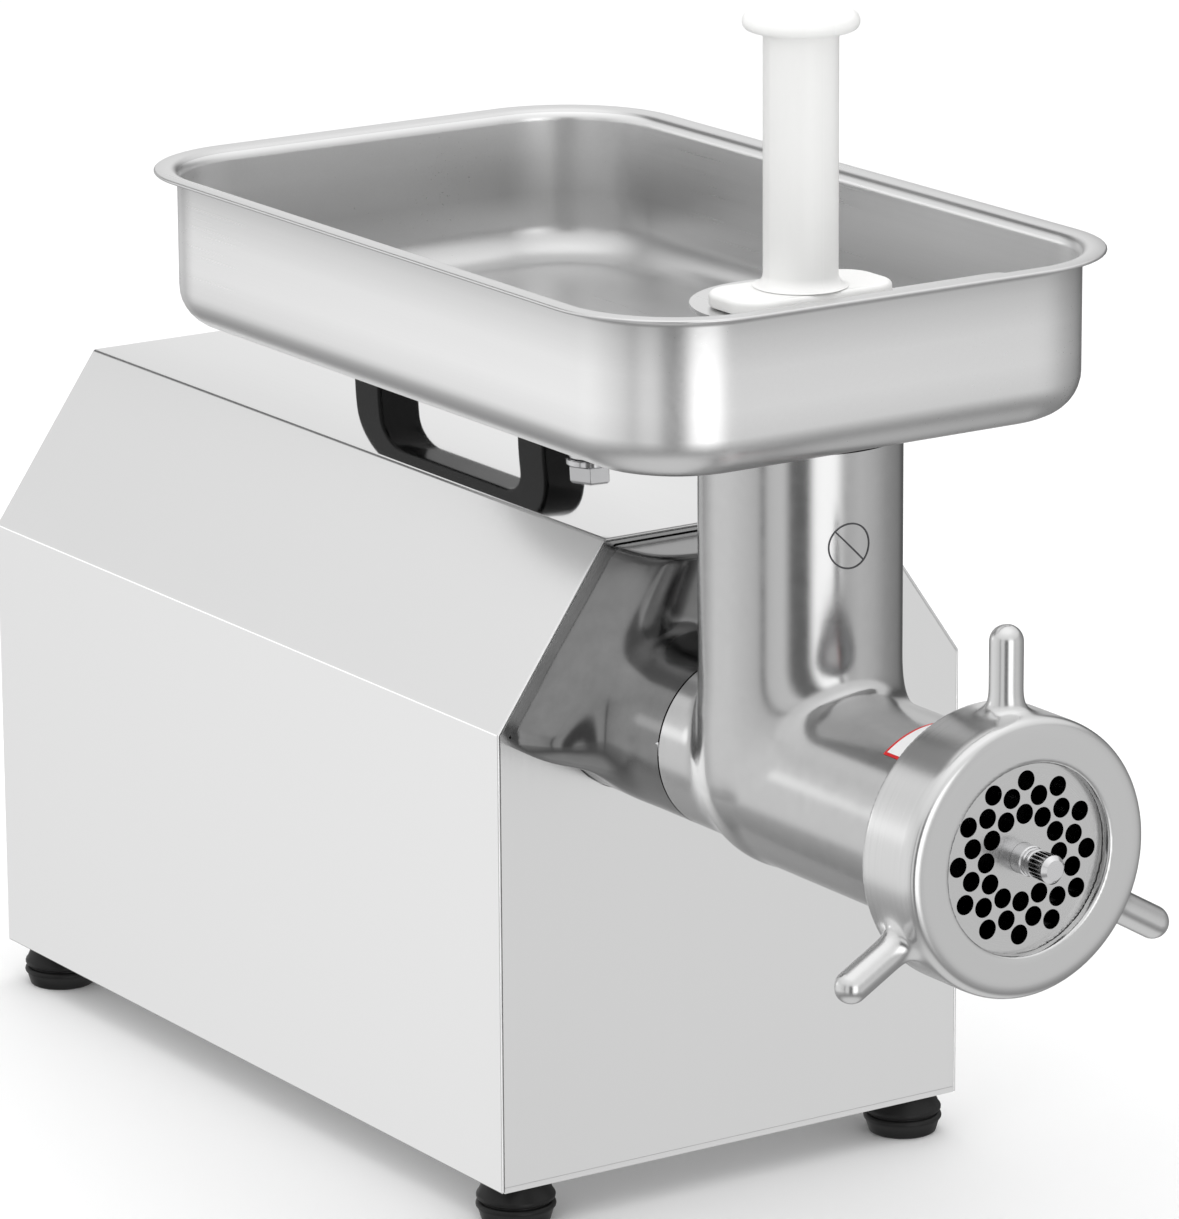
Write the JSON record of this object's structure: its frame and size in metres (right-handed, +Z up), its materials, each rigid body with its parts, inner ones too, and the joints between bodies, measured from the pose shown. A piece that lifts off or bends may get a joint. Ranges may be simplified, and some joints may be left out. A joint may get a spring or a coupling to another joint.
{
  "type": "electric meat grinder",
  "caption": "Countertop electric meat grinder: sheet-steel cabinet with motor and gearbox, pull-off grinding head with screw, knife, plate and ring nut, feed tray and pusher.",
  "frame": {"origin": "middle of the bounding box in plan, at the height of the table that the feet stand on", "axes": "+Z up; the grinding head points to -Y; +X is to the right of somebody who faces the head's back, the control panel's side"},
  "size_m": [0.2524, 0.587, 0.433],
  "materials": {
    "cabinet_steel": "polished sheet steel",
    "tray_steel": "satin pressed steel",
    "head_steel": "polished cast stainless steel",
    "ring_steel": "satin turned steel",
    "plate_steel": "ground steel",
    "gearbox_metal": "polished casting",
    "drive_steel": "machined steel",
    "screw_steel": "zinc plated",
    "bronze": "plain bearing bronze",
    "motor_paint": "grey paint",
    "core_iron": "laminated iron",
    "winding_copper": "enamelled copper",
    "capacitor_can": "drawn can",
    "black_plastic": "glossy black moulding",
    "box_plastic": "moulded box",
    "black_rubber": "black rubber",
    "green_plastic": "green moulding",
    "red_plastic": "red moulding",
    "white_plastic": "white food-grade plastic"
  },
  "bodies": {
    "machine": {"body_shell": "cabinet_steel", "front_panel": "cabinet_steel", "rear_panel": "cabinet_steel", "base_plate": "cabinet_steel", "feet": "black_rubber", "foot_screws": "screw_steel", "rear_screws": "screw_steel", "gear_housing": "gearbox_metal", "gearbox_cover": "gearbox_metal", "cover_bolts": "screw_steel", "front_bearing": "drive_steel", "rear_bearing": "drive_steel", "shaft_seal": "black_rubber", "lay_bushes": "bronze", "gearbox_stand": "motor_paint", "motor_can": "motor_paint", "motor_front_bell": "gearbox_metal", "motor_rear_bell": "gearbox_metal", "stator_core": "core_iron", "stator_winding": "winding_copper", "rotor_bearings": "drive_steel", "motor_cradle": "motor_paint", "run_capacitor": "capacitor_can", "control_box": "box_plastic", "switch_plate": "black_plastic", "power_inlet": "black_plastic", "inlet_pins": "screw_steel", "carry_handle": "black_plastic", "handle_screws": "screw_steel", "top_bolt": "screw_steel", "top_washers": "screw_steel"},
    "output_drive": {"output_shaft": "drive_steel", "output_gear": "drive_steel"},
    "lay_drive": {"lay_shaft_gear": "drive_steel"},
    "rotor": {"rotor_shaft": "drive_steel", "rotor_core": "core_iron", "cooling_fan": "black_plastic"},
    "head": {"head_barrel": "head_steel", "auger_bush": "bronze", "locating_pin": "screw_steel"},
    "screw": {"auger": "head_steel", "auger_stud": "drive_steel", "cross_knife": "plate_steel"},
    "plate": {"cutting_plate": "plate_steel"},
    "ring": {"ring_nut": "ring_steel"},
    "lock": {"lock_knob": "black_plastic"},
    "tray": {"feed_tray": "tray_steel", "tray_guard": "tray_steel"},
    "pusher": {"pusher": "white_plastic"},
    "start": {"start_button": "green_plastic"},
    "stop": {"stop_button": "red_plastic"},
    "reverse": {"reverse_knob": "black_plastic"}
  },
  "joints": [
    {"name": "output_spin", "type": "hinge", "parent": "machine", "child": "output_drive", "pos_m": [-0.02725, -0.0575, 0.181], "axis": [0, -1, 0], "continuous": true},
    {"name": "lay_spin", "type": "hinge", "parent": "machine", "child": "lay_drive", "pos_m": [0.00991, -0.0575, 0.14754], "axis": [0, -1, 0], "continuous": true},
    {"name": "rotor_spin", "type": "hinge", "parent": "machine", "child": "rotor", "pos_m": [0.02766, -0.0575, 0.10948], "axis": [0, -1, 0], "continuous": true},
    {"name": "head_pull", "type": "slide", "parent": "machine", "child": "head", "axis": [0, -1, 0], "range_m": [0, 0.06]},
    {"name": "screw_spin", "type": "hinge", "parent": "head", "child": "screw", "pos_m": [-0.02725, -0.0575, 0.181], "axis": [0, -1, 0], "continuous": true},
    {"name": "plate_out", "type": "slide", "parent": "head", "child": "plate", "axis": [0, -1, 0], "range_m": [0, 0.0065]},
    {"name": "ring_turn", "type": "hinge", "parent": "plate", "child": "ring", "pos_m": [-0.02725, -0.0575, 0.181], "axis": [0, -1, 0], "range_deg": [0, 720]},
    {"name": "lock_turn", "type": "hinge", "parent": "machine", "child": "lock", "pos_m": [-0.02725, -0.1055, 0.181], "axis": [1, 0, 0], "range_deg": [0, 720]},
    {"name": "tray_lift", "type": "slide", "parent": "head", "child": "tray", "axis": [0, 0, 1], "range_m": [0, 0.06]},
    {"name": "pusher_lift", "type": "slide", "parent": "tray", "child": "pusher", "axis": [0, 0, 1], "range_m": [0, 0.13]},
    {"name": "start_press", "type": "slide", "parent": "machine", "child": "start", "axis": [-1, 0, 0], "range_m": [0, 0.004], "stiffness_N_per_m": 400, "springref_m": -0.001},
    {"name": "stop_press", "type": "slide", "parent": "machine", "child": "stop", "axis": [-1, 0, 0], "range_m": [0, 0.004], "stiffness_N_per_m": 400, "springref_m": -0.001},
    {"name": "reverse_turn", "type": "hinge", "parent": "machine", "child": "reverse", "pos_m": [0.10875, 0.1875, 0.118], "axis": [1, 0, 0], "range_deg": [-45, 45]}
  ],
  "couplings": [
    {"joint": "lay_spin", "follows": "output_spin", "ratio": -2.125},
    {"joint": "rotor_spin", "follows": "output_spin", "ratio": 6.375},
    {"joint": "screw_spin", "follows": "output_spin", "ratio": 1},
    {"joint": "plate_out", "follows": "ring_turn", "m_per_rad": 0.00047746}
  ]
}
